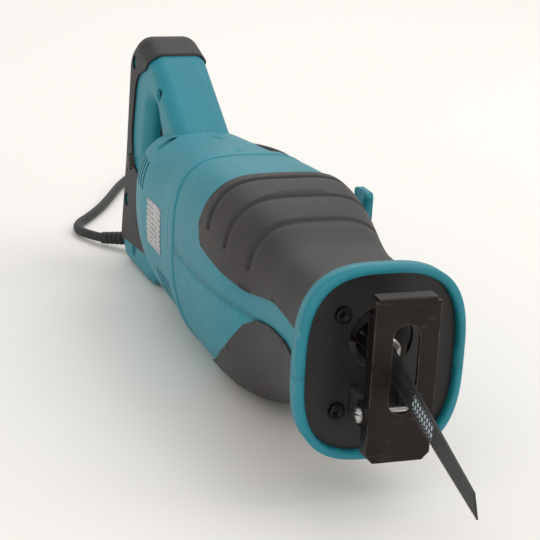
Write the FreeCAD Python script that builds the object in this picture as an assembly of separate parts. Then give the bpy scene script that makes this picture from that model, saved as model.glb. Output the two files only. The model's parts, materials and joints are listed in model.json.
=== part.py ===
import FreeCAD, Part
import math
import os

# Corded reciprocating saw. Millimetres.
# It is drawn in a nose frame: X forward, Y to the tool's left, Z up, with zero at the middle of
# the nose's front rim. save() moves every piece to the part's own frame, whose origin is the
# middle of the belly's rest face.

V = FreeCAD.Vector
AXIS_X = V(1, 0, 0)
AXIS_Y = V(0, 1, 0)
AXIS_Z = V(0, 0, 1)

# ---------------------------------------------------------------- driving dimensions
RIM_HALF_WIDTH = 46.0
RIM_TOP = 52.0
RIM_BOTTOM = 53.0
RIM_DEPTH = 12.0
RIM_WALL = 4.6
AXIS_HEIGHT = 76.0            # nose axis above the surface that the saw lies on
COVER_END = 228.0             # front covers reach this far behind the rim
COVER_SEAM_Z = -6.5
COVER_WALL = 2.5
PAD_THICKNESS = 1.6
GROOVE_WIDTH = 4.0
GROOVE_DEPTH = 1.1
MOTOR_START = 229.5
MOTOR_END = 334.0
MOTOR_HALF_WIDTH = 42.0
HOUSING_WALL = 2.5
HANDLE_REAR = 417.0
HANDLE_TOP = 87.0
HANDLE_HALF_WIDTH = 19.0
HANDLE_ROUNDING = 9.0
CASE_CLEARANCE = 1.5          # covers to gear case
CASE_WALL = 3.0

STROKE = 28.0
PLUNGER_RADIUS = 7.5
PLUNGER_TILT = 5.0            # plunger axis below the horizontal, degrees
PLUNGER_Z = 8.0               # height of the plunger axis in the rim plane
PLUNGER_REAR = 193.0
RUNNING_FIT = 0.05            # radial, shafts and plunger in their bores
FREE_GAP = 0.3                # between pieces that move past each other
BUSHING_WALL = 3.5
FRONT_BUSHING = (38.0, 66.0)
REAR_BUSHING = (171.0, 183.0)
NOSE_CUP_RADIUS = 17.5
NOSE_CUP_Z = 12.0
NOSE_CUP_END = 32.0

MOTOR_AXIS_Z = -10.0
GEAR_MODULE = 1.0
PINION_TEETH = 10
GEAR_TEETH = 50
TOOTH_SHIFT = 0.4             # profile shift, plus on the pinion and minus on the gear
GEAR_WIDTH = 12.0
GEAR_START = 190.0
HUB_S = 150.0                 # wobble hub's centre behind the rim
HUB_RADIUS = 15.0
RING_RADIUS = 21.0
RING_HALF_WIDTH = 6.0
ARM_BALL_RADIUS = 4.5
ARM_NECK_RADIUS = 2.5
LAYSHAFT_RADIUS = 7.0
JOURNAL_RADIUS = 4.0
SHAFT_RADIUS = 5.0

BLADE_CANT = 11.5             # blade below the plunger axis, degrees
BLADE_LENGTH = 128.5          # pin to tip
BLADE_THICKNESS = 1.2
TOOTH_PITCH = 1.8
TOOTH_DEPTH = 1.3
COLLAR_RADIUS = PLUNGER_RADIUS + 3.5
COLLAR_LENGTH = 15.0

SHOE_X = 26.0
SHOE_THICKNESS = 2.0
SHOE_HALF_WIDTH = 17.5
SHOE_TOP = 44.0
SHOE_BOTTOM = -43.0
SHOE_SLOT_WIDTH = 14.6
SHOE_SLOT = (-17.5, 30.3)
SHOE_PIVOT = (16.0, -20.0)
SHOE_PIN_RADIUS = 3.0
BRACKET_THICKNESS = 3.0
BRACKET_END = 44.0

CORD_RADIUS = 3.25
GUARD_RADIUS = 5.0
SCREW_HEAD_RADIUS = 3.6
SCREW_RADIUS = 1.8
SCREW_SEAT_Y = -14.5
SCREW_END_Y = 8.0
BOSS_RADIUS = 5.6

# Body cross-sections: distance behind the rim, half width, top, bottom, and how square the upper
# and lower halves are (2 is an ellipse).
COVER_STATIONS = [
    (RIM_DEPTH, RIM_HALF_WIDTH - 1.5, RIM_TOP - 2.0, RIM_BOTTOM - 2.0, 3.0, 3.0),
    (15.5, 41.0, 44.5, 46.0, 3.1, 2.9),
    (22.0, 38.0, 40.0, 42.5, 3.2, 2.8),
    (40.0, 36.5, 38.0, 42.5, 3.3, 2.6),
    (72.0, 36.5, 38.5, 50.0, 3.4, 2.5),
    (98.0, 39.0, 45.0, 60.0, 3.5, 2.3),
    (125.0, 44.0, 51.0, 69.0, 3.6, 2.25),
    (155.0, 46.0, 55.0, 74.7, 3.7, 2.2),
    (190.0, 46.0, 53.5, 75.9, 3.6, 2.2),
    (COVER_END, 45.0, 50.5, 75.0, 3.3, 2.2),
]
MOTOR_STATIONS = [
    (MOTOR_START, MOTOR_HALF_WIDTH + 2.6, 50.0, 74.6, 3.2, 2.2),
    (255.0, MOTOR_HALF_WIDTH + 0.8, 47.5, 71.5, 2.9, 2.25),
    (290.0, MOTOR_HALF_WIDTH, 44.5, 68.0, 2.7, 2.3),
    (318.0, MOTOR_HALF_WIDTH - 3.0, 41.5, 64.0, 2.6, 2.3),
    (MOTOR_END, MOTOR_HALF_WIDTH - 8.0, 36.0, 58.0, 2.5, 2.3),
]
SECTION_POINTS = 32
STATION_STEP = 12.0           # spacing of the sections that a long shell is lofted through


# ---------------------------------------------------------------- helpers
def save(name, shape):
    """Write one piece in the part's own frame."""
    piece = shape.copy()
    piece.translate(V(REST_S, 0, AXIS_HEIGHT))
    piece.exportStep("parts/" + name + ".step")
    state = "ok" if shape.isValid() else "NOT VALID"
    print(name, len(shape.Solids), round(shape.Volume), state)


def section(s, half_width, top, bottom, top_power, bottom_power, inset=0.0):
    """Closed curve across the body at a distance s behind the rim."""
    width = half_width - inset
    points = []
    for step in range(SECTION_POINTS):
        angle = 2 * math.pi * step / SECTION_POINTS
        side = math.cos(angle)
        rise = math.sin(angle)
        height = (top if rise >= 0 else bottom) - inset
        power = top_power if rise >= 0 else bottom_power
        reach = (abs(side / width) ** power + abs(rise / height) ** power) ** (-1 / power)
        points.append(V(-s, reach * side, reach * rise))
    curve = Part.BSplineCurve()
    curve.interpolate(points, PeriodicFlag=True)
    return Part.Wire(curve.toShape())


def slope(before, here, after, column):
    """Slope of one column at a station, flat where the values turn back, so curves never overshoot."""
    left = (here[column] - before[column]) / (here[0] - before[0])
    right = (after[column] - here[column]) / (after[0] - here[0])
    if left * right <= 0:
        return 0.0
    return 2 * left * right / (left + right)


def filled_stations(stations):
    """Add in-between stations on smooth curves that keep to the given values."""
    count = len(stations)
    slopes = []
    for index, here in enumerate(stations):
        before = stations[max(index - 1, 0)]
        after = stations[min(index + 1, count - 1)]
        if before is here:
            slopes.append([(after[c] - here[c]) / (after[0] - here[0]) for c in range(1, 6)])
        elif after is here:
            slopes.append([(here[c] - before[c]) / (here[0] - before[0]) for c in range(1, 6)])
        else:
            slopes.append([slope(before, here, after, c) for c in range(1, 6)])
    rows = []
    for index in range(count - 1):
        low, high = stations[index], stations[index + 1]
        length = high[0] - low[0]
        steps = max(1, round(length / STATION_STEP))
        for step in range(steps):
            t = step / steps
            row = [low[0] + t * length]
            for c in range(1, 6):
                rise = (1 + 2 * t) * (1 - t) ** 2 * low[c] + t * t * (3 - 2 * t) * high[c]
                bend = t * (1 - t) ** 2 * slopes[index][c - 1] + t * t * (t - 1) * slopes[index + 1][c - 1]
                row.append(rise + bend * length)
            rows.append(row)
    rows.append(list(stations[-1]))
    return rows


LOFTS = {}


def body_loft(stations, inset=0.0):
    """Smooth solid through the stations; each one is made once and kept."""
    key = (tuple(tuple(row) for row in stations), inset)
    if key not in LOFTS:
        rows = filled_stations(stations)
        LOFTS[key] = Part.makeLoft([section(*row, inset=inset) for row in rows], True, False)
    return LOFTS[key]


def moved_ends(stations, start, end):
    """The same stations with the first and last moved along the body."""
    rows = [list(row) for row in stations]
    rows[0][0] = start
    rows[-1][0] = end
    return rows


def rod(x_low, x_high, radius, y=0.0, z=0.0):
    """Cylinder along X."""
    return Part.makeCylinder(radius, x_high - x_low, V(x_low, y, z), AXIS_X)


def ring(x_low, x_high, outer, inner, y=0.0, z=0.0):
    bore = rod(x_low - 1, x_high + 1, inner, y, z)
    return rod(x_low, x_high, outer, y, z).cut(bore)


def cross_rod(x, z, radius, y_low, y_high):
    """Cylinder along Y."""
    return Part.makeCylinder(radius, y_high - y_low, V(x, y_low, z), AXIS_Y)


def box(x_low, x_high, y_low, y_high, z_low, z_high):
    size = (x_high - x_low, y_high - y_low, z_high - z_low)
    return Part.makeBox(*size, V(x_low, y_low, z_low))


def fuse_all(shapes):
    return shapes[0].fuse(shapes[1:]).removeSplitter()


def rounded_outline(corners):
    """Closed wire in the XZ plane from corners (x, z, radius)."""
    arcs = []
    for index, (x, z, radius) in enumerate(corners):
        point = V(x, 0, z)
        before = corners[index - 1]
        after = corners[(index + 1) % len(corners)]
        to_before = (V(before[0], 0, before[1]) - point).normalize()
        to_after = (V(after[0], 0, after[1]) - point).normalize()
        half_angle = to_before.getAngle(to_after) / 2
        setback = radius / math.tan(half_angle)
        middle = (to_before + to_after).normalize()
        mid_point = point + middle * (radius / math.sin(half_angle) - radius)
        arcs.append((point + to_before * setback, mid_point, point + to_after * setback))
    edges = []
    for index, (start, mid_point, end) in enumerate(arcs):
        edges.append(Part.Arc(start, mid_point, end).toShape())
        following = arcs[(index + 1) % len(arcs)][0]
        if end.distanceToPoint(following) > 1e-6:
            edges.append(Part.LineSegment(end, following).toShape())
    return Part.Wire(Part.__sortEdges__(edges))


def side_slab(outline, y_low, y_high):
    """Extrude a wire in the XZ plane across the body."""
    face = Part.Face(outline)
    face.translate(V(0, y_low, 0))
    return face.extrude(V(0, y_high - y_low, 0))


def polygon_slab(points, y_low, y_high):
    corners = [V(x, 0, z) for x, z in points]
    return side_slab(Part.makePolygon(corners + corners[:1]), y_low, y_high)


def tube_path(points):
    """Straight runs joined by the largest tangent arcs that they allow, with the radii."""
    edges = []
    radii = []
    here = points[0]
    for before, corner, after in zip(points, points[1:], points[2:]):
        to_before = (before - corner).normalize()
        to_after = (after - corner).normalize()
        half_turn = (math.pi - to_before.getAngle(to_after)) / 2
        setback = 0.45 * min(before.distanceToPoint(corner), corner.distanceToPoint(after))
        radius = setback / math.tan(half_turn)
        start = corner + to_before * setback
        end = corner + to_after * setback
        middle = (to_before + to_after).normalize()
        mid_point = corner + middle * (radius / math.cos(half_turn) - radius)
        edges.append(Part.LineSegment(here, start).toShape())
        edges.append(Part.Arc(start, mid_point, end).toShape())
        radii.append(radius)
        here = end
    edges.append(Part.LineSegment(here, points[-1]).toShape())
    return Part.Wire(edges), radii


def tube(name, points, radius):
    path, radii = tube_path(points)
    heading = (points[1] - points[0]).normalize()
    profile = Part.Wire(Part.makeCircle(radius, points[0], heading))
    solid = path.makePipeShell([profile], True, False)
    ideal = math.pi * radius * radius * path.Length
    print(name, "radii", [round(r) for r in radii], "length", round(path.Length, 1))
    print(name, "volume over section times length", round(solid.Volume / ideal, 4))
    return solid


# ---------------------------------------------------------------- plunger line
TILT = math.radians(PLUNGER_TILT)
PLUNGER_WAY = V(math.cos(TILT), 0, -math.sin(TILT))
PLUNGER_UP = V(math.sin(TILT), 0, math.cos(TILT))


def plunger_point(u, up=0.0, y=0.0):
    """Point at u along the plunger axis, forward from the rim plane."""
    return V(0, y, PLUNGER_Z) + PLUNGER_WAY * u + PLUNGER_UP * up


def plunger_rod(u_low, u_high, radius):
    return Part.makeCylinder(radius, u_high - u_low, plunger_point(u_low), PLUNGER_WAY)


def plunger_ring(u_low, u_high, outer, inner):
    return plunger_rod(u_low, u_high, outer).cut(plunger_rod(u_low - 1, u_high + 1, inner))


LAYSHAFT_Z = MOTOR_AXIS_Z - GEAR_MODULE * (PINION_TEETH + GEAR_TEETH) / 2
HUB = V(-HUB_S, 0, LAYSHAFT_Z)
ARM_LENGTH = (plunger_point(0) - HUB).dot(PLUNGER_UP)
ARM_U = (HUB - plunger_point(0)).dot(PLUNGER_WAY)
REST_S = 172.0                # middle of the belly's rest face, behind the rim


# ---------------------------------------------------------------- shells
def rim_recess():
    """The space inside the nose rim that takes the face plate and the gear case's flange."""
    rows = [
        (-1.0, RIM_HALF_WIDTH - RIM_WALL + 1.6, RIM_TOP - RIM_WALL + 1.6, RIM_BOTTOM - RIM_WALL + 1.6, 3, 3),
        (2.0, RIM_HALF_WIDTH - RIM_WALL, RIM_TOP - RIM_WALL, RIM_BOTTOM - RIM_WALL, 3, 3),
    ]
    chamfer = Part.makeLoft([section(*row) for row in rows], True, True)
    straight = [list(rows[1]), list(rows[1])]
    straight[0][0] = 1.9
    straight[1][0] = RIM_DEPTH
    return chamfer.fuse(Part.makeLoft([section(*row) for row in straight], True, True))


def front_covers():
    front = [
        (0.0, RIM_HALF_WIDTH - 1.2, RIM_TOP - 1.2, RIM_BOTTOM - 1.2, 3, 3),
        (1.5, RIM_HALF_WIDTH, RIM_TOP, RIM_BOTTOM, 3, 3),
        (RIM_DEPTH - 1.0, RIM_HALF_WIDTH, RIM_TOP - 0.6, RIM_BOTTOM - 0.6, 3, 3),
        (RIM_DEPTH, RIM_HALF_WIDTH - 0.8, RIM_TOP - 1.4, RIM_BOTTOM - 1.4, 3, 3),
    ]
    rim = Part.makeLoft([section(*row) for row in front], True, True)
    outer = rim.fuse(body_loft(COVER_STATIONS))
    inner = body_loft(moved_ends(COVER_STATIONS, RIM_DEPTH - 0.5, COVER_END + 1), COVER_WALL)
    shell = outer.cut(inner).cut(rim_recess())
    upper = shell.common(box(-300, 10, -80, 80, COVER_SEAM_Z, 120))
    lower = shell.common(box(-300, 10, -80, 80, -120, COVER_SEAM_Z))
    lever_bore = cross_rod(-LEVER_S, LEVER_Z, LEVER_SHAFT_RADIUS + FREE_GAP, 20, 80)
    save("front_cover_upper", upper.cut(lever_bore))
    save("front_cover_lower", lower)


def pad_shell():
    skin = moved_ends(COVER_STATIONS, COVER_STATIONS[0][0], COVER_END)
    return body_loft(skin, -PAD_THICKNESS).cut(body_loft(COVER_STATIONS))


TOP_PAD_SIDE = [
    (-13.5, 110, 1), (-157, 110, 1), (-160, 50, 20), (-167, 26, 8), (-160, 15, 8),
    (-128, 10, 30), (-99, 7, 60), (-62, 14, 60), (-40, 12, 30), (-13.5, 10, 1),
]
LOWER_PAD_SIDE = [
    (-13.5, -6.6, 1), (-28, -5.5, 10), (-44, -1.5, 20), (-62, -1.0, 30), (-84, -4, 20), (-100, -12, 20),
    (-124, -33, 40), (-152, -52, 40), (-186, -66, 6), (-194, -110, 1), (-13.5, -110, 1),
]


def grip_pads():
    skin = pad_shell()
    top = skin.common(side_slab(rounded_outline(TOP_PAD_SIDE), -80, 80))
    floor_depth = PAD_THICKNESS - GROOVE_DEPTH
    groove_skin = body_loft(COVER_STATIONS, -PAD_THICKNESS - 1).cut(body_loft(COVER_STATIONS, -floor_depth))
    for s, low in ((150.0, 27.0), (125.0, 24.0), (98.0, 20.0)):
        band = box(-s - GROOVE_WIDTH / 2, -s + GROOVE_WIDTH / 2, -80, 80, low, 110)
        top = top.cut(groove_skin.common(band))
    lever_bore = cross_rod(-LEVER_S, LEVER_Z, LEVER_SHAFT_RADIUS + FREE_GAP, 20, 80)
    save("top_grip_pad", top.cut(lever_bore))
    lower = skin.common(side_slab(rounded_outline(LOWER_PAD_SIDE), -80, 80))
    above_floor = box(-260, 10, -80, 80, -AXIS_HEIGHT, 100)
    save("lower_grip_pad", lower.common(above_floor))


HANDLE_BOTTOM = -AXIS_HEIGHT
HANDLE_OUTLINE = [
    (-300, 42, 10), (-362, HANDLE_TOP - 8, 30), (2 - HANDLE_REAR + 22, HANDLE_TOP, 18),
    (-HANDLE_REAR + 3, HANDLE_TOP - 15, 20), (-HANDLE_REAR, 0, 200), (-HANDLE_REAR - 6, -59, 25),
    (-HANDLE_REAR + 3, HANDLE_BOTTOM, 12), (-352, HANDLE_BOTTOM, 15), (-322, -58, 15), (-295, -50, 10),
]
GRIP_FRONT = HANDLE_REAR - 42.0
FINGER_OPENING = [
    (-MOTOR_END - 2, 28, 9), (-350, 46, 9), (-GRIP_FRONT + 8, 53, 7), (-GRIP_FRONT, 0, 200),
    (-GRIP_FRONT + 1, -42, 12), (-345, -44, 12), (-MOTOR_END, -20, 20),
]


def handle_slab(grow=0.0):
    """The D-shaped handle, with its finger opening, rounded along both sides."""
    outline = rounded_outline(HANDLE_OUTLINE)
    opening = rounded_outline(FINGER_OPENING)
    if grow:
        outline = outline.makeOffset2D(grow)
        opening = opening.makeOffset2D(-grow)
    half = HANDLE_HALF_WIDTH + grow
    loop = side_slab(outline, -half, half).cut(side_slab(opening, -half, half))
    edges = [edge for edge in loop.Edges if abs(abs(edge.CenterOfMass.y) - half) < 1e-3]
    return loop.makeFillet(HANDLE_ROUNDING + grow, edges)


TRIGGER_HALF_WIDTH = 8.0
TRIGGER_PIVOT = (-GRIP_FRONT - 5, 46.0)
TRIGGER_LOW = 2.0
LOCK_BUTTON = (19 - HANDLE_REAR, -1.0)
LOCK_BUTTON_RADIUS = 4.5
GUARD_Z = -64.0
BEARING_SMALL = 11.0
BEARING_LARGE = 16.0
STATOR_RADIUS = MOTOR_HALF_WIDTH - HOUSING_WALL - 3.5
STATOR_START = 254.0
STATOR_END = 298.0
SCREW_REACH = STATOR_RADIUS + 11.0
HOUSING_SCREWS = [
    (-344, 58), (19 - HANDLE_REAR, 68), (12 - HANDLE_REAR, -30), (29 - HANDLE_REAR, -62), (-338, -60),
    (-300, MOTOR_AXIS_Z + SCREW_REACH), (-300, MOTOR_AXIS_Z - SCREW_REACH),
]


def motor_vents():
    """Slots through both sides of the motor housing, clear of the seam."""
    cuts = []
    for index in range(5):
        s = 240.0 + index * 7.0
        cuts.append(box(-s - 1.6, -s + 1.6, -80, 80, -52, -34))
    for index in range(4):
        s = 300.0 + index * 7.0
        cuts.append(box(-s - 1.6, -s + 1.6, -80, 80, 8, 26))
    centre = box(-340, -220, -15, 15, -80, 80)
    return [cut.cut(centre) for cut in cuts]


def housings():
    outer_motor = body_loft(MOTOR_STATIONS)
    inner_stations = moved_ends(MOTOR_STATIONS, MOTOR_START - 1, MOTOR_END - 3)
    inner_motor = body_loft(inner_stations, HOUSING_WALL)
    outer = outer_motor.fuse(handle_slab())
    shell = outer.cut(inner_motor).cut(handle_slab(-HOUSING_WALL))
    bosses = [cross_rod(x, z, BOSS_RADIUS, -40, 40).common(outer) for x, z in HOUSING_SCREWS]
    spigot_inset = COVER_WALL + FREE_GAP
    row = COVER_STATIONS[-1]
    collars = []
    for inset in (spigot_inset, spigot_inset + 2.2):
        ends = [(PLATE_END + 0.5, *row[1:]), (MOTOR_START + 4, *row[1:])]
        collars.append(Part.makeLoft([section(*end, inset=inset) for end in ends], True, True))
    spigot = collars[0].cut(collars[1]).cut(body_loft(MOTOR_STATIONS).cut(body_loft(MOTOR_STATIONS, 1.0)))
    pocket = ring(-MOTOR_END + 1, -MOTOR_END + 13, BEARING_SMALL + 3, BEARING_SMALL, z=MOTOR_AXIS_Z)
    additions = [spigot, pocket]
    for s in (STATOR_START + 2, STATOR_END - 5):
        slab = box(-s - 3, -s, -80, 80, -90, 90)
        rib = body_loft(inner_stations, HOUSING_WALL - 0.5).common(slab)
        additions.append(rib.cut(rod(-s - 4, -s + 1, STATOR_RADIUS, z=MOTOR_AXIS_Z)))
    shell = shell.fuse(additions + bosses)
    x, z = TRIGGER_PIVOT
    slot_half = TRIGGER_HALF_WIDTH + FREE_GAP + 0.2
    shell = shell.cut(box(-GRIP_FRONT - 6, -GRIP_FRONT + 20, -slot_half, slot_half, TRIGGER_LOW - 2, z + 4))
    button_bore = cross_rod(*LOCK_BUTTON, LOCK_BUTTON_RADIUS + FREE_GAP, -40, -10)
    shell = shell.cut(button_bore)
    guard_bore = rod(-HANDLE_REAR - 20, -HANDLE_REAR + 6, GUARD_RADIUS + 2.0, z=GUARD_Z)
    shell = shell.cut(guard_bore)
    for cut in motor_vents():
        shell = shell.cut(cut)
    for x, z in HOUSING_SCREWS:
        shell = shell.cut(cross_rod(x, z, SCREW_HEAD_RADIUS + 0.6, -60, SCREW_SEAT_Y))
        shell = shell.cut(cross_rod(x, z, SCREW_RADIUS + 0.05, -60, SCREW_END_Y + 1))
    save("left_housing", shell.common(box(-460, -200, 0, 80, -100, 120)))
    save("right_housing", shell.common(box(-460, -200, -80, 0, -100, 120)))


RUBBER_SIDE = [
    (53 - HANDLE_REAR, 130, 1), (53 - HANDLE_REAR, 78, 4), (43 - HANDLE_REAR, 68, 12),
    (23 - HANDLE_REAR, 60, 20), (17 - HANDLE_REAR, 20, 40), (22 - HANDLE_REAR, -2, 10),
    (45 - HANDLE_REAR, -8, 12), (77 - HANDLE_REAR, -38, 10), (73 - HANDLE_REAR, -53, 8),
    (37 - HANDLE_REAR, -57, 60), (-43 - HANDLE_REAR, -62, 1), (-43 - HANDLE_REAR, 130, 1),
]


def handle_rubber():
    skin = handle_slab(PAD_THICKNESS).cut(handle_slab())
    sleeve = skin.common(side_slab(rounded_outline(RUBBER_SIDE), -60, 60))
    sleeve = sleeve.cut(cross_rod(*LOCK_BUTTON, LOCK_BUTTON_RADIUS + 1.2, -60, 0))
    for x, z in HOUSING_SCREWS:
        sleeve = sleeve.cut(cross_rod(x, z, SCREW_HEAD_RADIUS + 1.0, -60, 0))
    front = box(-GRIP_FRONT - 6, -GRIP_FRONT + 20, -9.5, 9.5, TRIGGER_LOW - 4, 60)
    save("handle_rubber", sleeve.cut(front))


def housing_screws():
    screws = []
    for x, z in HOUSING_SCREWS:
        head = cross_rod(x, z, SCREW_HEAD_RADIUS, SCREW_SEAT_Y - 2.6, SCREW_SEAT_Y)
        shank = cross_rod(x, z, SCREW_RADIUS, SCREW_SEAT_Y, SCREW_END_Y)
        slot = box(x - 2.2, x + 2.2, SCREW_SEAT_Y - 3.5, SCREW_SEAT_Y - 1.4, z - 0.4, z + 0.4)
        cross = box(x - 0.4, x + 0.4, SCREW_SEAT_Y - 3.5, SCREW_SEAT_Y - 1.4, z - 2.2, z + 2.2)
        screws.append(head.fuse(shank).cut(slot).cut(cross))
    save("housing_screws", Part.makeCompound(screws))


def rating_label():
    skin = body_loft(MOTOR_STATIONS, -0.35).cut(body_loft(MOTOR_STATIONS))
    save("rating_label", skin.common(box(-283, -252, -80, -20, -21, 8)))


# ---------------------------------------------------------------- nose
PLATE_BACK = 7.5
PLATE_THICKNESS = 3.0
SCREW_Y = SHOE_HALF_WIDTH + 4.5
PLATE_SCREWS = [(-SCREW_Y, 26), (SCREW_Y, 26), (-SCREW_Y, -26), (SCREW_Y, -26)]
BRACKET_Y = SHOE_HALF_WIDTH - SHOE_THICKNESS - FREE_GAP
BRACKET_Z = (-27.5, -12.5)


def rim_plate(s_front, s_back, inset):
    half_width = RIM_HALF_WIDTH - RIM_WALL - inset
    top = RIM_TOP - RIM_WALL - inset
    bottom = RIM_BOTTOM - RIM_WALL - inset
    return Part.makeLoft([section(s, half_width, top, bottom, 3, 3) for s in (s_front, s_back)], True, True)


def bracket_passages():
    cuts = []
    for side in (-1, 1):
        inner = side * (BRACKET_Y - BRACKET_THICKNESS - FREE_GAP)
        outer = side * (BRACKET_Y + FREE_GAP)
        y_low, y_high = sorted((inner, outer))
        cuts.append(box(-BRACKET_END, 5, y_low, y_high, BRACKET_Z[0] - FREE_GAP, BRACKET_Z[1] + FREE_GAP))
    return cuts


def face_plate():
    plate = rim_plate(PLATE_BACK - PLATE_THICKNESS, PLATE_BACK, 0.2)
    plate = plate.cut(rod(-10, 0, NOSE_CUP_RADIUS, z=NOSE_CUP_Z))
    for y, z in PLATE_SCREWS:
        plate = plate.cut(rod(-10, 0, 2.2, y, z))
    for cut in bracket_passages():
        plate = plate.cut(cut)
    save("face_plate", plate)


def face_screws():
    screws = []
    front = -PLATE_BACK + PLATE_THICKNESS
    for y, z in PLATE_SCREWS:
        head = rod(front, front + 2.6, 4.5, y, z)
        edge = [e for e in head.Edges if abs(e.CenterOfMass.x - front - 2.6) < 0.01 and e.Length > 20]
        head = head.makeFillet(1.4, edge)
        shank = rod(-PLATE_BACK - 5, front, 2.0, y, z)
        depth = front + 1.2
        slot = box(depth, depth + 3, y - 0.55, y + 0.55, z - 2.6, z + 2.6)
        cross = box(depth, depth + 3, y - 2.6, y + 2.6, z - 0.55, z + 0.55)
        screws.append(head.fuse(shank).cut(slot).cut(cross))
    save("face_screws", Part.makeCompound(screws))


def shoe():
    front = SHOE_X
    back = SHOE_X - SHOE_THICKNESS
    w = SHOE_HALF_WIDTH
    plate = box(back, front, -w, w, SHOE_BOTTOM, SHOE_TOP)
    slot_r = SHOE_SLOT_WIDTH / 2
    slot = box(back - 1, front + 1, -slot_r, slot_r, SHOE_SLOT[0] + slot_r, SHOE_SLOT[1] - slot_r)
    slot = slot.fuse([rod(back - 1, front + 1, slot_r, 0, z) for z in (SHOE_SLOT[0] + slot_r, SHOE_SLOT[1] - slot_r)])
    corners = [edge for edge in plate.Edges if abs(edge.BoundBox.XLength - SHOE_THICKNESS) < 1e-3]
    low_corners = [edge for edge in corners if edge.CenterOfMass.z < SHOE_BOTTOM + 1]
    plate = plate.makeChamfer(4.0, low_corners)
    lip = box(front - 9, front, -w + 2.0, w - 2.0, SHOE_TOP - SHOE_THICKNESS, SHOE_TOP)
    lip_edge = [e for e in lip.Edges if e.CenterOfMass.x > front - 0.01 and e.CenterOfMass.z > SHOE_TOP - 0.01]
    lip = lip.makeFillet(1.8, lip_edge)
    plate = plate.cut(box(back - 1, front + 1, -w - 1, w + 1, SHOE_TOP - 1.8, SHOE_TOP + 1))
    pieces = [plate, lip]
    for side in (-1, 1):
        y_low, y_high = sorted((side * (w - SHOE_THICKNESS), side * w))
        flange = box(front - 8, back, y_low, y_high, SHOE_BOTTOM + 4, SHOE_TOP - 11)
        x, z = SHOE_PIVOT
        ear = box(x - 5, back, y_low, y_high, z - 6, z + 6)
        ear = ear.fuse(cross_rod(x, z, 6, y_low, y_high))
        pieces.extend([flange, ear])
    body = fuse_all(pieces).cut(slot)
    bore = cross_rod(*SHOE_PIVOT, SHOE_PIN_RADIUS, -w - 5, w + 5)
    save("shoe", body.cut(bore))
    head_y = w + 2.2
    pin = cross_rod(*SHOE_PIVOT, SHOE_PIN_RADIUS, -w, w)
    heads = [cross_rod(*SHOE_PIVOT, 4.2, -head_y, -w), cross_rod(*SHOE_PIVOT, 4.2, w, head_y)]
    save("shoe_pivot_pin", fuse_all([pin] + heads))


def shoe_bracket():
    x, z = SHOE_PIVOT
    arms = []
    for side in (-1, 1):
        y_low, y_high = sorted((side * (BRACKET_Y - BRACKET_THICKNESS), side * BRACKET_Y))
        arm = box(-BRACKET_END, x, y_low, y_high, *BRACKET_Z)
        arms.append(arm.fuse(cross_rod(x, z, 7.5, y_low, y_high)))
    back = box(-BRACKET_END, -BRACKET_END + 3, -BRACKET_Y, BRACKET_Y, *BRACKET_Z)
    bracket = fuse_all(arms + [back])
    save("shoe_bracket", bracket.cut(cross_rod(x, z, SHOE_PIN_RADIUS + RUNNING_FIT, -30, 30)))


# ---------------------------------------------------------------- gear case
CASE_START = 68.0
CASE_END = 212.0
PLATE_END = 225.0
LEVER_S = 160.0
LEVER_Z = 26.0
LEVER_SHAFT_RADIUS = 4.0
LEVER_REACH = 18.0


def case_loft(start, end, inset):
    """Slice of the covers' shape, inset, between two distances behind the rim."""
    whole = body_loft(moved_ends(COVER_STATIONS, RIM_DEPTH, COVER_END), inset)
    return whole.common(box(-end, -start, -90, 90, -120, 120))


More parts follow.
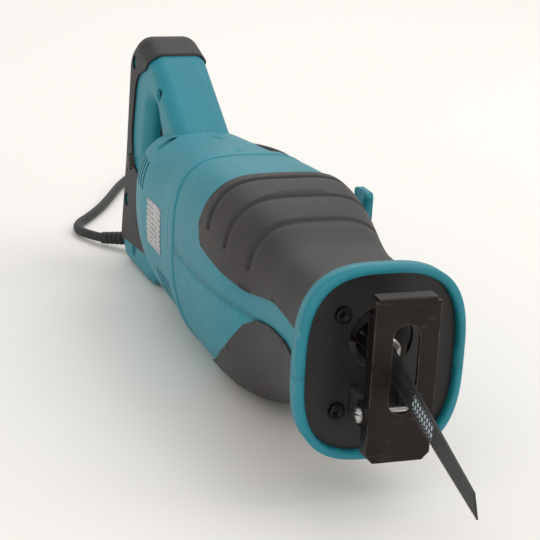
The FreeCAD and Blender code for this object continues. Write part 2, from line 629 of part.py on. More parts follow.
def gear_case():
    outside = COVER_WALL + CASE_CLEARANCE
    flange = rim_plate(PLATE_BACK, RIM_DEPTH - 0.6, 0.2)
    cup = rod(-NOSE_CUP_END - 3, -PLATE_BACK, NOSE_CUP_RADIUS + 2.5, z=NOSE_CUP_Z)
    bushing_outer = PLUNGER_RADIUS + RUNNING_FIT + BUSHING_WALL
    tube_front = plunger_rod(-CASE_START - 2, -NOSE_CUP_END, bushing_outer + 3.5)
    fat = case_loft(CASE_START, CASE_END, outside).cut(case_loft(CASE_START + 4, CASE_END + 1, outside + CASE_WALL))
    inside = case_loft(CASE_START, CASE_END, outside + CASE_WALL - 0.5)
    low_web = inside.common(box(-126, -118, -60, 60, -80, LAYSHAFT_Z + 17))
    high_web = inside.common(box(-REAR_BUSHING[1], -REAR_BUSHING[0], -60, 60, 4, 70))
    case = fuse_all([flange, cup, tube_front, fat, low_web, high_web])
    case = case.cut(rod(-NOSE_CUP_END, 5, NOSE_CUP_RADIUS, z=NOSE_CUP_Z))
    case = case.cut(plunger_rod(-PLUNGER_REAR - 20, -NOSE_CUP_END + 6, bushing_outer))
    case = case.cut(rod(-126 - 1, -118 + 1, BEARING_SMALL, z=LAYSHAFT_Z))
    for y, z in PLATE_SCREWS:
        case = case.cut(rod(-PLATE_BACK - 6, 0, 2.0, y, z))
    for cut in bracket_passages():
        case = case.cut(cut)
    case = case.cut(box(-BRACKET_END, 0, -BRACKET_Y - 0.3, BRACKET_Y + 0.3, BRACKET_Z[0] - 0.3, BRACKET_Z[0] + 4))
    case = case.cut(cross_rod(-LEVER_S, LEVER_Z, LEVER_SHAFT_RADIUS + FREE_GAP, 20, 80))
    save("gear_case", case)
    plate = case_loft(CASE_END, PLATE_END, COVER_WALL + FREE_GAP + 2.4)
    plate = plate.cut(rod(-PLATE_END - 1, -CASE_END - 2, BEARING_LARGE, z=MOTOR_AXIS_Z))
    plate = plate.cut(rod(-PLATE_END, -CASE_END + 1, 9.0, z=MOTOR_AXIS_Z))
    plate = plate.cut(rod(-PLATE_END + 3, -CASE_END + 1, BEARING_SMALL, z=LAYSHAFT_Z))
    save("bearing_plate", plate)
    save("front_bushing", plunger_ring(-FRONT_BUSHING[1], -FRONT_BUSHING[0], bushing_outer, PLUNGER_RADIUS + RUNNING_FIT))
    save("rear_bushing", plunger_ring(-REAR_BUSHING[1], -REAR_BUSHING[0], bushing_outer, PLUNGER_RADIUS + RUNNING_FIT))
    save("dust_seal", plunger_ring(-FRONT_BUSHING[0], -NOSE_CUP_END - 0.6, bushing_outer, PLUNGER_RADIUS + FREE_GAP))


def bearing(name, s_front, width, outer, bore, z):
    """Ball bearing as one ring with a step where its shield sits."""
    body = ring(-s_front - width, -s_front, outer, bore, z=z)
    for x_low in (-s_front - 0.5, -s_front - width - 0.5):
        body = body.cut(ring(x_low, x_low + 1.0, outer * 0.86, bore + 1.4, z=z))
    save(name, body)


def bearings():
    fit = RUNNING_FIT
    bearing("layshaft_front_bearing", 118.5, 7.0, BEARING_SMALL, JOURNAL_RADIUS + fit, LAYSHAFT_Z)
    bearing("layshaft_rear_bearing", 213.0, 7.0, BEARING_SMALL, JOURNAL_RADIUS + fit, LAYSHAFT_Z)
    bearing("motor_front_bearing", 214.0, 9.0, BEARING_LARGE, SHAFT_RADIUS + fit, MOTOR_AXIS_Z)
    bearing("motor_rear_bearing", MOTOR_END - 12.0, 7.0, BEARING_SMALL, JOURNAL_RADIUS + fit, MOTOR_AXIS_Z)


def gear_outline(teeth, shift, first_angle):
    """Involute teeth as a closed polygon in the YZ plane; a tooth's middle is at first_angle."""
    pressure = math.radians(20)
    pitch_r = GEAR_MODULE * teeth / 2
    base_r = pitch_r * math.cos(pressure)
    tip_r = pitch_r + GEAR_MODULE * (1 + shift)
    root_r = pitch_r - GEAR_MODULE * (1.25 - shift)
    backlash = 0.12
    thickness = GEAR_MODULE * (math.pi / 2 + 2 * shift * math.tan(pressure)) - backlash
    involute = math.tan(pressure) - pressure
    half_at_base = thickness / (2 * pitch_r) + involute
    start_r = max(base_r, root_r)
    flank = [(root_r, half_at_base)] if root_r < base_r else []
    for step in range(5):
        r = start_r + (tip_r - start_r) * step / 4
        roll = math.acos(min(1.0, base_r / r))
        flank.append((r, half_at_base - (math.tan(roll) - roll)))
    points = []
    for tooth in range(teeth):
        middle = first_angle + 2 * math.pi * tooth / teeth
        for r, half in flank:
            points.append((r, middle - half))
        for r, half in reversed(flank):
            points.append((r, middle + half))
    return points


def gear(x_low, x_high, teeth, shift, first_angle, z):
    corners = []
    for r, angle in gear_outline(teeth, shift, first_angle):
        corners.append(V(x_low, r * math.cos(angle), z + r * math.sin(angle)))
    face = Part.Face(Part.makePolygon(corners + corners[:1]))
    return face.extrude(V(x_high - x_low, 0, 0))


def drive_train():
    up = math.pi / 2
    gear_x = -GEAR_START - GEAR_WIDTH
    wheel = gear(gear_x, -GEAR_START, GEAR_TEETH, -TOOTH_SHIFT, up, LAYSHAFT_Z)
    wheel = wheel.cut(ring(gear_x - 1, gear_x + 3, 19, 11, z=LAYSHAFT_Z))
    wheel = wheel.cut(ring(-GEAR_START - 3, -GEAR_START + 1, 19, 11, z=LAYSHAFT_Z))
    save("drive_gear", wheel.cut(rod(gear_x - 1, -GEAR_START + 1, LAYSHAFT_RADIUS, z=LAYSHAFT_Z)))
    shaft = rod(-212.0, -127.0, LAYSHAFT_RADIUS, z=LAYSHAFT_Z).fuse(rod(-222.0, -117.0, JOURNAL_RADIUS, z=LAYSHAFT_Z))
    save("layshaft", shaft)
    ball = Part.makeSphere(HUB_RADIUS, HUB)
    hub = ball.common(rod(-HUB_S - 11, -HUB_S + 11, HUB_RADIUS + 1, z=LAYSHAFT_Z))
    save("wobble_hub", hub.cut(rod(-HUB_S - 20, -HUB_S + 20, LAYSHAFT_RADIUS, z=LAYSHAFT_Z)))
    lean = FreeCAD.Rotation(AXIS_Y, PLUNGER_TILT)
    hoop = Part.makeCylinder(RING_RADIUS, 2 * RING_HALF_WIDTH, V(-RING_HALF_WIDTH, 0, 0), AXIS_X)
    taper = Part.makeCone(6.5, ARM_NECK_RADIUS, ARM_LENGTH - 12 - 16, V(0, 0, 16), AXIS_Z)
    neck = Part.makeCylinder(ARM_NECK_RADIUS, 13, V(0, 0, ARM_LENGTH - 13), AXIS_Z)
    knob = Part.makeSphere(ARM_BALL_RADIUS, V(0, 0, ARM_LENGTH))
    arm = fuse_all([hoop, taper, neck, knob]).cut(Part.makeSphere(HUB_RADIUS + FREE_GAP))
    arm.Placement = FreeCAD.Placement(HUB, lean)
    save("wobble_arm", arm)
    bar = plunger_rod(-PLUNGER_REAR, COLLAR_U[0] - 0.5, PLUNGER_RADIUS)
    pocket_radius = ARM_BALL_RADIUS + FREE_GAP
    pocket = Part.makeCylinder(pocket_radius, 20, plunger_point(ARM_U, pocket_radius + 0.2), PLUNGER_UP * -1)
    save("plunger", bar.cut(pocket))


# ---------------------------------------------------------------- blade clamp and blade
COLLAR_U = (-12.0, -12.0 + COLLAR_LENGTH)
PIN_U = -3.0
LOCK_PIN_RADIUS = 1.6


def blade_clamp():
    body = plunger_rod(COLLAR_U[0] - 0.5, COLLAR_U[1] + 0.8, PLUNGER_RADIUS)
    half_slot = BLADE_THICKNESS / 2
    slot = Part.makeBox(20, 2 * half_slot, 40, V(-9, -half_slot, -20))
    slot.Placement = FreeCAD.Placement(plunger_point(0), FreeCAD.Rotation(AXIS_Y, PLUNGER_TILT))
    pin = Part.makeCylinder(LOCK_PIN_RADIUS, 2 * PLUNGER_RADIUS - 1, plunger_point(PIN_U, 0, 0.5 - PLUNGER_RADIUS), AXIS_Y)
    save("clamp_body", body.cut(slot).cut(pin))
    save("blade_lock_pin", pin)
    bore = PLUNGER_RADIUS + FREE_GAP
    collar = plunger_ring(*COLLAR_U, COLLAR_RADIUS, bore)
    spring_room = plunger_rod(COLLAR_U[0] + 1.5, COLLAR_U[0] + 8.5, bore + 2.0)
    collar = collar.cut(spring_room)
    for index in range(12):
        angle = 2 * math.pi * index / 12
        centre = plunger_point(COLLAR_U[0] + 2, COLLAR_RADIUS * math.sin(angle), COLLAR_RADIUS * math.cos(angle))
        collar = collar.cut(Part.makeCylinder(0.9, COLLAR_LENGTH - 6, centre, PLUNGER_WAY))
    save("clamp_collar", collar)
    wire_radius = 0.4
    coil_radius = bore + 1.0
    helix = Part.makeHelix(1.4, 4.2, coil_radius)
    profile = Part.Wire(Part.makeCircle(wire_radius, V(coil_radius, 0, 0), V(0, 1, 0)))
    spring = Part.Wire(helix.Edges).makePipeShell([profile], True, True)
    turn = FreeCAD.Rotation(AXIS_Z, PLUNGER_WAY)
    spring.Placement = FreeCAD.Placement(plunger_point(COLLAR_U[0] + 2.6), turn)
    save("clamp_spring", spring)


def blade():
    """Outline in its own frame: zero at the lock pin, X along the blade, teeth downwards."""
    half_height = 8.3
    taper = 0.032
    tang_end = 7.0
    tooth_start = 14.0
    tip_back = BLADE_LENGTH - 9.5
    low = [(-5.0, -4.5), (tang_end, -4.5), (tang_end + 2, -half_height), (tooth_start, -half_height)]
    teeth = int((BLADE_LENGTH - 1.0 - tooth_start) / TOOTH_PITCH)
    for index in range(teeth):
        x = tooth_start + index * TOOTH_PITCH
        edge = -half_height + taper * (x - tang_end)
        low.append((x + 0.35 * TOOTH_PITCH, edge + TOOTH_DEPTH))
        low.append((x + TOOTH_PITCH, edge + taper * TOOTH_PITCH))
    high = [(tip_back, half_height - taper * (tip_back - tang_end)), (tang_end + 2, half_height)]
    high += [(tang_end, 4.5), (-5.0, 4.5)]
    flat = polygon_slab(low + high, -BLADE_THICKNESS / 2, BLADE_THICKNESS / 2)
    flat = flat.cut(cross_rod(0, 0, LOCK_PIN_RADIUS, -3, 3))
    flat.Placement = FreeCAD.Placement(plunger_point(PIN_U), FreeCAD.Rotation(AXIS_Y, PLUNGER_TILT + BLADE_CANT))
    save("blade", flat)


# ---------------------------------------------------------------- motor
FAN_START = 232.0


def motor():
    up = math.pi / 2
    half_pitch = math.pi / PINION_TEETH
    pinion = gear(-GEAR_START - GEAR_WIDTH - 3, -GEAR_START + 2, PINION_TEETH, TOOTH_SHIFT, -up + half_pitch, MOTOR_AXIS_Z)
    pinion_root = GEAR_MODULE * (PINION_TEETH / 2 - 1.25 + TOOTH_SHIFT)
    parts = [
        pinion,
        rod(-GEAR_START - GEAR_WIDTH - 6, -GEAR_START + 2, pinion_root - 0.2, z=MOTOR_AXIS_Z),
        rod(-MOTOR_END + 16, -GEAR_START - GEAR_WIDTH - 4, SHAFT_RADIUS, z=MOTOR_AXIS_Z),
        rod(-MOTOR_END + 4, -MOTOR_END + 17, JOURNAL_RADIUS, z=MOTOR_AXIS_Z),
    ]
    save("armature_shaft", fuse_all(parts))
    core_radius = STATOR_RADIUS * 0.53
    core = ring(-STATOR_END - 1, -STATOR_START + 1, core_radius, SHAFT_RADIUS, z=MOTOR_AXIS_Z)
    for index in range(14):
        angle = 2 * math.pi * index / 14
        y = (core_radius - 2) * math.cos(angle)
        z = MOTOR_AXIS_Z + (core_radius - 2) * math.sin(angle)
        core = core.cut(rod(-STATOR_END - 2, -STATOR_START + 2, 1.6, y, z))
    save("armature_core", core)
    ends = [(-STATOR_START + 1, -STATOR_START + 6), (-STATOR_END - 6, -STATOR_END - 1)]
    turns = [ring(low, high, core_radius - 3, SHAFT_RADIUS + 2, z=MOTOR_AXIS_Z) for low, high in ends]
    save("armature_windings", Part.makeCompound(turns))
    commutator_x = (-STATOR_END - 19, -STATOR_END - 8)
    commutator = ring(*commutator_x, COMMUTATOR_RADIUS, SHAFT_RADIUS, z=MOTOR_AXIS_Z)
    for index in range(24):
        angle = 2 * math.pi * index / 24
        centre = V(commutator_x[0], 0, MOTOR_AXIS_Z)
        groove = Part.makeBox(9, 1.5, 0.4, V(2, COMMUTATOR_RADIUS - 0.8, -0.2))
        groove.Placement = FreeCAD.Placement(centre, FreeCAD.Rotation(AXIS_X, math.degrees(angle)))
        commutator = commutator.cut(groove)
    save("commutator", commutator)
    fan()
    stator_and_brushes()


COMMUTATOR_RADIUS = 12.5
BRUSH_S = STATOR_END + 13.5


def fan():
    fan_radius = MOTOR_HALF_WIDTH - 8.5
    disc = rod(-FAN_START - 3, -FAN_START - 1, fan_radius, z=MOTOR_AXIS_Z)
    hub = rod(-FAN_START - 13, -FAN_START - 1, 10, z=MOTOR_AXIS_Z)
    blades = []
    for index in range(12):
        vane = Part.makeBox(9.5, fan_radius - 9, 1.6, V(0, 9, -0.8))
        angle = 360.0 * index / 12
        vane.Placement = FreeCAD.Placement(V(-FAN_START - 12, 0, MOTOR_AXIS_Z), FreeCAD.Rotation(AXIS_X, angle))
        blades.append(vane)
    wheel = fuse_all([disc, hub] + blades)
    save("fan", wheel.cut(rod(-FAN_START - 20, -FAN_START + 5, SHAFT_RADIUS, z=MOTOR_AXIS_Z)))
    baffle = body_loft(MOTOR_STATIONS, HOUSING_WALL + 0.3).common(box(-249, -247, -80, 80, -90, 90))
    save("air_baffle", baffle.cut(rod(-260, -240, fan_radius - 9, z=MOTOR_AXIS_Z)))


def stator_sector(x_low, x_high, outer, inner, middle_degrees, half_degrees):
    """Part of a ring about the motor axis."""
    wedge = Part.makeCylinder(outer, x_high - x_low, V(0, 0, 0), AXIS_Z, 2 * half_degrees)
    wedge = wedge.cut(Part.makeCylinder(inner, x_high - x_low, V(0, 0, 0), AXIS_Z))
    turn = FreeCAD.Rotation(V(0, 1, 0), V(0, 0, 1), V(1, 0, 0))
    wedge.Placement = FreeCAD.Placement(V(0, 0, 0), FreeCAD.Rotation(AXIS_Z, middle_degrees - half_degrees))
    placed = wedge.copy()
    placed.Placement = FreeCAD.Placement(V(x_low, 0, MOTOR_AXIS_Z), turn).multiply(wedge.Placement)
    return placed


def stator_and_brushes():
    bore = STATOR_RADIUS * 0.53 + 1.0
    yoke = ring(-STATOR_END, -STATOR_START, STATOR_RADIUS, STATOR_RADIUS - 7, z=MOTOR_AXIS_Z)
    poles = [stator_sector(-STATOR_END, -STATOR_START, STATOR_RADIUS - 6, bore, a, 52) for a in (0, 180)]
    save("stator", fuse_all([yoke] + poles))
    coil_outer = STATOR_RADIUS - 7.5
    coils = [stator_sector(-STATOR_END - 5, -STATOR_START + 5, coil_outer, bore + 1, a, 35) for a in (90, 270)]
    save("field_coils", Part.makeCompound(coils))
    holders = []
    brushes = []
    inner_y = COMMUTATOR_RADIUS + 1.0
    outer_y = MOTOR_HALF_WIDTH - HOUSING_WALL - 10.0
    x = -BRUSH_S
    z = MOTOR_AXIS_Z
    for side in (-1, 1):
        y_low, y_high = sorted((side * inner_y, side * outer_y))
        guide = box(x - 5, x + 5, y_low, y_high, z - 6, z + 6)
        holders.append(guide.cut(box(x - 3.2, x + 3.2, y_low - 1, y_high + 1, z - 4.2, z + 4.2)))
        y_low, y_high = sorted((side * (COMMUTATOR_RADIUS + FREE_GAP), side * (COMMUTATOR_RADIUS + 12)))
        brush = box(x - 3.0, x + 3.0, y_low, y_high, z - 4.0, z + 4.0)
        brushes.append(brush.cut(rod(x - 4, x + 4, COMMUTATOR_RADIUS + FREE_GAP, z=MOTOR_AXIS_Z)))
    save("brush_holders", Part.makeCompound(holders))
    save("carbon_brushes", Part.makeCompound(brushes))


# ---------------------------------------------------------------- controls
def controls():
    x, z = TRIGGER_PIVOT
    front = -GRIP_FRONT + 13
    outline = [
        (x - 3, z + 3, 2), (front - 4, z + 2, 6), (front, z - 10, 12), (front - 3.5, 22, 30),
        (front + 1, TRIGGER_LOW, 3), (-GRIP_FRONT - 4, TRIGGER_LOW, 2), (-GRIP_FRONT - 4, z - 16, 4), (x - 3, z - 8, 3),
    ]
    lever = side_slab(rounded_outline(outline), -TRIGGER_HALF_WIDTH, TRIGGER_HALF_WIDTH)
    rim = [e for e in lever.Edges if abs(abs(e.CenterOfMass.y) - TRIGGER_HALF_WIDTH) < 1e-3]
    lever = lever.makeFillet(1.2, rim)
    save("trigger", lever.cut(cross_rod(x, z, 2.0 + RUNNING_FIT, -20, 20)))
    inner_wall = HANDLE_HALF_WIDTH - HOUSING_WALL
    save("trigger_pin", cross_rod(x, z, 2.0, -inner_wall, inner_wall))
    switch = box(-GRIP_FRONT - 32, -GRIP_FRONT - 13, -12.5, 12.5, 6, 42)
    plunger_boss = rod(-GRIP_FRONT - 13.5, -GRIP_FRONT - 11, 3.5, z=18)
    save("switch_body", switch.fuse(plunger_boss))
    bx, bz = LOCK_BUTTON
    stem = cross_rod(bx, bz, LOCK_BUTTON_RADIUS, -HANDLE_HALF_WIDTH - 3.4, -inner_wall + 0.5)
    flange = cross_rod(bx, bz, LOCK_BUTTON_RADIUS + 1.2, -inner_wall + FREE_GAP, -inner_wall + 1.4)
    save("lock_button", stem.fuse(flange))
    disc = cross_rod(-LEVER_S, LEVER_Z, 11.0, LEVER_SEAT_Y, LEVER_SEAT_Y + 4)
    tab = box(-LEVER_S - 9, -LEVER_S + 9, LEVER_SEAT_Y + 1.5, LEVER_SEAT_Y + 6, LEVER_Z, LEVER_Z + LEVER_REACH)
    corners = [e for e in tab.Edges if e.BoundBox.YLength > 4 and e.CenterOfMass.z > LEVER_Z + LEVER_REACH - 4]
    tab = tab.makeFillet(3.0, corners)
    stem = cross_rod(-LEVER_S, LEVER_Z, LEVER_SHAFT_RADIUS, 34, LEVER_SEAT_Y + 1)
    save("mode_lever", fuse_all([disc, tab, stem]))


LEVER_SEAT_Y = 46.0 + PAD_THICKNESS + FREE_GAP


# ---------------------------------------------------------------- cord
# Both routes are measured from the back of the handle.
GUARD_ROUTE = [
    (10, 0, -64), (-6, -1, -64.6), (-17, -12, -68), (-30, -25, -70.9),
]
LEAD_ROUTE = [
    (-30, -25, -70.9), (-47, -37, -72.0), (-69, -35, -72.7), (-88, -20, -72.7), (-112, -4, -72.7),
    (-140, 11, -72.7), (-169, 26, -72.7), (-199, 46, -72.7), (-233, 68, -72.7), (-265, 96, -72.7),
    (-283, 134, -72.7), (-273, 172, -72.7), (-238, 190, -72.7), (-197, 186, -72.7), (-157, 170, -72.7),
    (-115, 154, -72.7), (-73, 142, -72.7), (-31, 136, -72.7), (17, 134.5, -72.7),
]
COIL_CENTRE = V(17 - HANDLE_REAR, 92, 0)
COIL_MEAN_RADIUS = 36.0
COIL_ACROSS = 3
COIL_LAYERS = 2
PLUG_EXIT_DEGREES = 45.0


def behind_handle(route):
    return [V(x - HANDLE_REAR, y, z) for x, y, z in route]


def cords():
    save("cord_guard", tube("cord_guard", behind_handle(GUARD_ROUTE), GUARD_RADIUS))
    save("cord", tube("cord", behind_handle(LEAD_ROUTE), CORD_RADIUS))
    diameter = 2 * CORD_RADIUS
    half = COIL_ACROSS * CORD_RADIUS
    floor = -AXIS_HEIGHT
    height = COIL_LAYERS * diameter
    outer = Part.makeCylinder(COIL_MEAN_RADIUS + half, height, COIL_CENTRE + V(0, 0, floor), AXIS_Z)
    inner = Part.makeCylinder(COIL_MEAN_RADIUS - half, height, COIL_CENTRE + V(0, 0, floor), AXIS_Z)
    save("cord_coil", outer.cut(inner))
    angle = math.radians(PLUG_EXIT_DEGREES)
    reach = COIL_MEAN_RADIUS + half - CORD_RADIUS
    heading = V(math.sin(angle), -math.cos(angle), 0)
    start = COIL_CENTRE + V(reach * math.cos(angle), reach * math.sin(angle), floor + height - CORD_RADIUS)
    end = start + heading * 30
    save("cord_tail", Part.makeCylinder(CORD_RADIUS, 30, start, heading))
    across = V(math.cos(angle), math.sin(angle), 0)
    frame = FreeCAD.Placement(end, FreeCAD.Rotation(heading, across, AXIS_Z, "XYZ"))
    body = Part.makeBox(38, 34, 19, V(14, -17, -9.5))
    body = body.makeFillet(4.0, body.Edges)
    neck = Part.makeCone(CORD_RADIUS + 1.5, 7.0, 16, V(0, 0, 0), AXIS_X)
    body = body.fuse(neck)
    body.Placement = frame
    save("plug_body", body)
    pins = []
    for side in (-1, 1):
        pin = Part.makeCylinder(2.0, 19, V(52, side * 9.5, 0), AXIS_X)
        pin.Placement = frame
        pins.append(pin)
    save("plug_pins", Part.makeCompound(pins))
    clamp = box(15 - HANDLE_REAR, 23 - HANDLE_REAR, -12, 12, GUARD_Z + 8.5, GUARD_Z + 12.5)
    save("cord_clamp", clamp)


os.makedirs("parts", exist_ok=True)
front_covers()
grip_pads()
housings()
handle_rubber()
housing_screws()
rating_label()
face_plate()
face_screws()
shoe()
shoe_bracket()
gear_case()
bearings()
drive_train()
blade_clamp()
blade()
motor()
controls()
cords()
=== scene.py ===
import bpy
import json
import math
from mathutils import Matrix, Vector


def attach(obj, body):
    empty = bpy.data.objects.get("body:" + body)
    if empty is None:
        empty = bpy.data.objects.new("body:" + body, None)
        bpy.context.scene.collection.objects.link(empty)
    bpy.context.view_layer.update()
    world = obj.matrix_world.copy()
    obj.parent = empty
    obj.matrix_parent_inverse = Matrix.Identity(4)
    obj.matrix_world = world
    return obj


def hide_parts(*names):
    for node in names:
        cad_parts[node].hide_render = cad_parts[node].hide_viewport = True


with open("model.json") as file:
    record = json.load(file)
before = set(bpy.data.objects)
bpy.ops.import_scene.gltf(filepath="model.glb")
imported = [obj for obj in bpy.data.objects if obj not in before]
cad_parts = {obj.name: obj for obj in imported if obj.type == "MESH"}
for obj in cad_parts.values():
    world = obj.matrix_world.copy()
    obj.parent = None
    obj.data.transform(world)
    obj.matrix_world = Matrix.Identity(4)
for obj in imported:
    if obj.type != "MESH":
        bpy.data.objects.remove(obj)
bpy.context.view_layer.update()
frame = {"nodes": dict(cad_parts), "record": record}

restShift = Vector((0.172, 0.0, 0.076))  # from the nose rim's centre to the belly's rest face


def toolPoint(x, y, z):
    # millimetres from the nose rim's centre
    return Vector((x, y, z)) / 1000 + restShift


# camera, held with a slight roll
cameraSetup = {"right": (0.33507, 0.94040, 0.05803), "up": (-0.31166, 0.05250, 0.94874),
               "back": (0.88915, -0.33598, 0.31068), "place": (846.2, -384.1, 349.3), "lens": 130.0,
               "sensor": 36.0, "farClip": 20.0}


def makeCamera():
    data = bpy.data.cameras.new("camera")
    data.lens = cameraSetup["lens"]
    data.sensor_width = cameraSetup["sensor"]
    data.clip_end = cameraSetup["farClip"]
    camera = bpy.data.objects.new("camera", data)
    bpy.context.scene.collection.objects.link(camera)
    axes = [Vector(cameraSetup[name]).normalized() for name in ("right", "up", "back")]
    turn = Matrix(axes).transposed().to_4x4()
    camera.matrix_world = Matrix.Translation(toolPoint(*cameraSetup["place"])) @ turn
    bpy.context.scene.camera = camera


makeCamera()
print("camera in place")


# shader maths: a wrapped socket that understands + - * /
class Wire:
    def __init__(self, maker, socket):
        self.maker = maker
        self.socket = socket

    def maths(self, operation, first, second):
        return self.maker.maths(operation, first, second)

    def __add__(self, other):
        return self.maths("ADD", self, other)

    def __radd__(self, other):
        return self.maths("ADD", other, self)

    def __sub__(self, other):
        return self.maths("SUBTRACT", self, other)

    def __rsub__(self, other):
        return self.maths("SUBTRACT", other, self)

    def __mul__(self, other):
        return self.maths("MULTIPLY", self, other)

    def __rmul__(self, other):
        return self.maths("MULTIPLY", other, self)

    def __gt__(self, other):
        return self.maths("GREATER_THAN", self, other)

    def __lt__(self, other):
        return self.maths("LESS_THAN", self, other)


class Finish:
    # one material and the nodes inside it
    def __init__(self, name, **sockets):
        self.material = bpy.data.materials.new(name)
        self.material.use_nodes = True
        self.tree = self.material.node_tree
        self.shader = self.tree.nodes["Principled BSDF"]
        for key, value in sockets.items():
            self.shader.inputs[key.replace("_", " ")].default_value = value
        self.place = self.node("ShaderNodeTexCoord", {}, {}, "Object")

    def node(self, kind, settings=None, values=None, output=0):
        made = self.tree.nodes.new(kind)
        for key, value in (settings or {}).items():
            if key == "stops":
                for index, (where, shade) in enumerate(value):
                    stops = made.color_ramp.elements
                    stop = stops[index] if index < len(stops) else stops.new(where)
                    stop.position = where
                    stop.color = (shade, shade, shade, 1)
            else:
                setattr(made, key, value)
        for key, value in (values or {}).items():
            if isinstance(value, Wire):
                self.tree.links.new(value.socket, made.inputs[key])
            else:
                made.inputs[key].default_value = value
        return Wire(self, made.outputs[output])

    def noise(self, scale, detail=3.0, rough=0.6, place=None):
        values = {"Vector": place or self.place, "Scale": scale, "Detail": detail, "Roughness": rough}
        return self.node("ShaderNodeTexNoise", {}, values)

    def ramp(self, value, *stops):
        return self.node("ShaderNodeValToRGB", {"stops": stops}, {"Fac": value})

    def stretch(self, factors):
        return self.node("ShaderNodeMapping", {}, {"Vector": self.place, "Scale": factors})

    def mix(self, factor, low, high):
        settings = {"data_type": "RGBA"}
        return self.node("ShaderNodeMix", settings, {0: factor, 6: low, 7: high}, 2)

    def set(self, name, wire):
        self.tree.links.new(wire.socket, self.shader.inputs[name])

    def bump(self, height, distance, strength=1.0):
        values = {"Height": height, "Distance": distance, "Strength": strength}
        self.set("Normal", self.node("ShaderNodeBump", {}, values))

    def maths(self, operation, first, second=0.0):
        return self.node("ShaderNodeMath", {"operation": operation}, {0: first, 1: second})

    def edgeWear(self, width=0.0009, low=0.03, high=0.22):
        # sharp edges: where a softened normal turns away from the true one
        soft = self.node("ShaderNodeBevel", {"samples": 6}, {"Radius": width})
        true = self.node("ShaderNodeNewGeometry", {}, {}, "Normal")
        same = self.node("ShaderNodeVectorMath", {"operation": "DOT_PRODUCT"}, {0: soft, 1: true}, "Value")
        broken = self.ramp(self.noise(150.0, 5.0, 0.7), (0.38, 0.0), (0.6, 1.0))
        return self.ramp(1 - same, (low, 0.0), (high, 1.0)) * broken

    def along(self, direction, origin):
        # distance in metres from a point, measured along a direction
        settings = {"operation": "DOT_PRODUCT"}
        reach = self.node("ShaderNodeVectorMath", settings, {0: self.place, 1: direction}, "Value")
        return reach - Vector(direction).dot(Vector(origin))


def rgba(red, green, blue):
    return (red, green, blue, 1.0)


def mouldedPlastic(name, colour, lighter, worn, grain=900.0, roughness=0.42):
    finish = Finish(name, Roughness=roughness)
    cloud = finish.noise(14.0, 4.0)
    streaks = finish.noise(60.0, 6.0, 0.7, finish.stretch((1.0, 3.0, 0.5)))
    scuff = finish.ramp(streaks, (0.6, 0.0), (0.72, 1.0))
    dust = finish.ramp(finish.noise(38.0, 5.0), (0.55, 0.0), (0.8, 1.0))
    base = finish.mix(finish.ramp(cloud, (0.35, 0.0), (0.7, 1.0)), rgba(*colour), rgba(*lighter))
    base = finish.mix(scuff * 0.16, base, rgba(*worn))
    base = finish.mix(finish.edgeWear() * 0.35, base, rgba(*worn))
    finish.set("Base Color", base)
    finish.set("Roughness", roughness + 0.14 * cloud - 0.1 * scuff + 0.08 * dust)
    finish.bump(finish.noise(grain, 2.0) + 0.4 * finish.noise(grain * 0.3), 0.00012, 0.5)
    return finish.material


rubberDust = (0.085, 0.078, 0.074)


def gripRubber(name, colour, lighter):
    finish = Finish(name, Roughness=0.62)
    cloud = finish.noise(22.0, 5.0)
    dust = finish.ramp(finish.noise(90.0, 8.0, 0.75), (0.52, 0.0), (0.75, 1.0))
    base = finish.mix(cloud, rgba(*colour), rgba(*lighter))
    finish.set("Base Color", finish.mix(dust * 0.22, base, rgba(*rubberDust)))
    finish.set("Roughness", 0.5 + 0.16 * cloud + 0.08 * dust)
    cells = finish.node("ShaderNodeTexVoronoi", {}, {"Vector": finish.place, "Scale": 700.0})
    finish.bump(cells + finish.noise(1500.0, 2.0) * 0.5, 0.0002, 0.45)
    return finish.material


metalWear = {"dirt": (0.08, 0.07, 0.06), "dirtAmount": 0.4, "edgeGain": 1.4, "edgeLift": 0.08}


def machinedMetal(name, colour, roughness=0.28, lines=(1.0, 1.0, 1.0)):
    finish = Finish(name, Metallic=1.0, Roughness=roughness)
    brushed = finish.noise(420.0, 3.0, 0.6, finish.stretch(lines))
    grime = finish.ramp(finish.noise(55.0, 7.0, 0.7), (0.5, 0.0), (0.78, 1.0))
    bright = [min(1.0, metalWear["edgeGain"] * part + metalWear["edgeLift"]) for part in colour]
    base = finish.mix(grime * metalWear["dirtAmount"], rgba(*colour), rgba(*metalWear["dirt"]))
    base = finish.mix(finish.edgeWear() * 0.5, base, rgba(*bright))
    finish.set("Base Color", base)
    finish.set("Roughness", roughness + 0.12 * brushed + 0.2 * grime)
    finish.bump(brushed, 0.00006, 0.5)
    return finish.material


def castMetal(name, colour):
    finish = Finish(name, Metallic=0.9, Roughness=0.5)
    grain = finish.noise(260.0, 6.0, 0.7)
    oil = finish.ramp(finish.noise(18.0, 4.0), (0.5, 0.0), (0.7, 1.0))
    finish.set("Base Color", finish.mix(oil * 0.5, rgba(*colour), rgba(0.22, 0.2, 0.16)))
    finish.set("Roughness", 0.55 - 0.25 * oil + 0.1 * grain)
    finish.bump(grain, 0.0003, 0.6)
    return finish.material


def blackenedSteel(name):
    finish = Finish(name, Metallic=0.85, Roughness=0.4)
    patch = finish.noise(35.0, 6.0, 0.7)
    lines = finish.noise(300.0, 4.0, 0.6, finish.stretch((1.0, 0.25, 1.0)))
    scratch = finish.ramp(lines, (0.62, 0.0), (0.7, 1.0))
    base = finish.mix(patch, rgba(0.012, 0.0095, 0.009), rgba(0.038, 0.03, 0.027))
    base = finish.mix(scratch * 0.25, base, rgba(0.12, 0.1, 0.09))
    base = finish.mix(finish.edgeWear(0.0007) * 0.8, base, rgba(0.3, 0.25, 0.22))
    finish.set("Base Color", base)
    finish.set("Roughness", 0.32 + 0.22 * patch)
    finish.bump(patch + scratch * -0.2, 0.00012, 0.5)
    return finish.material


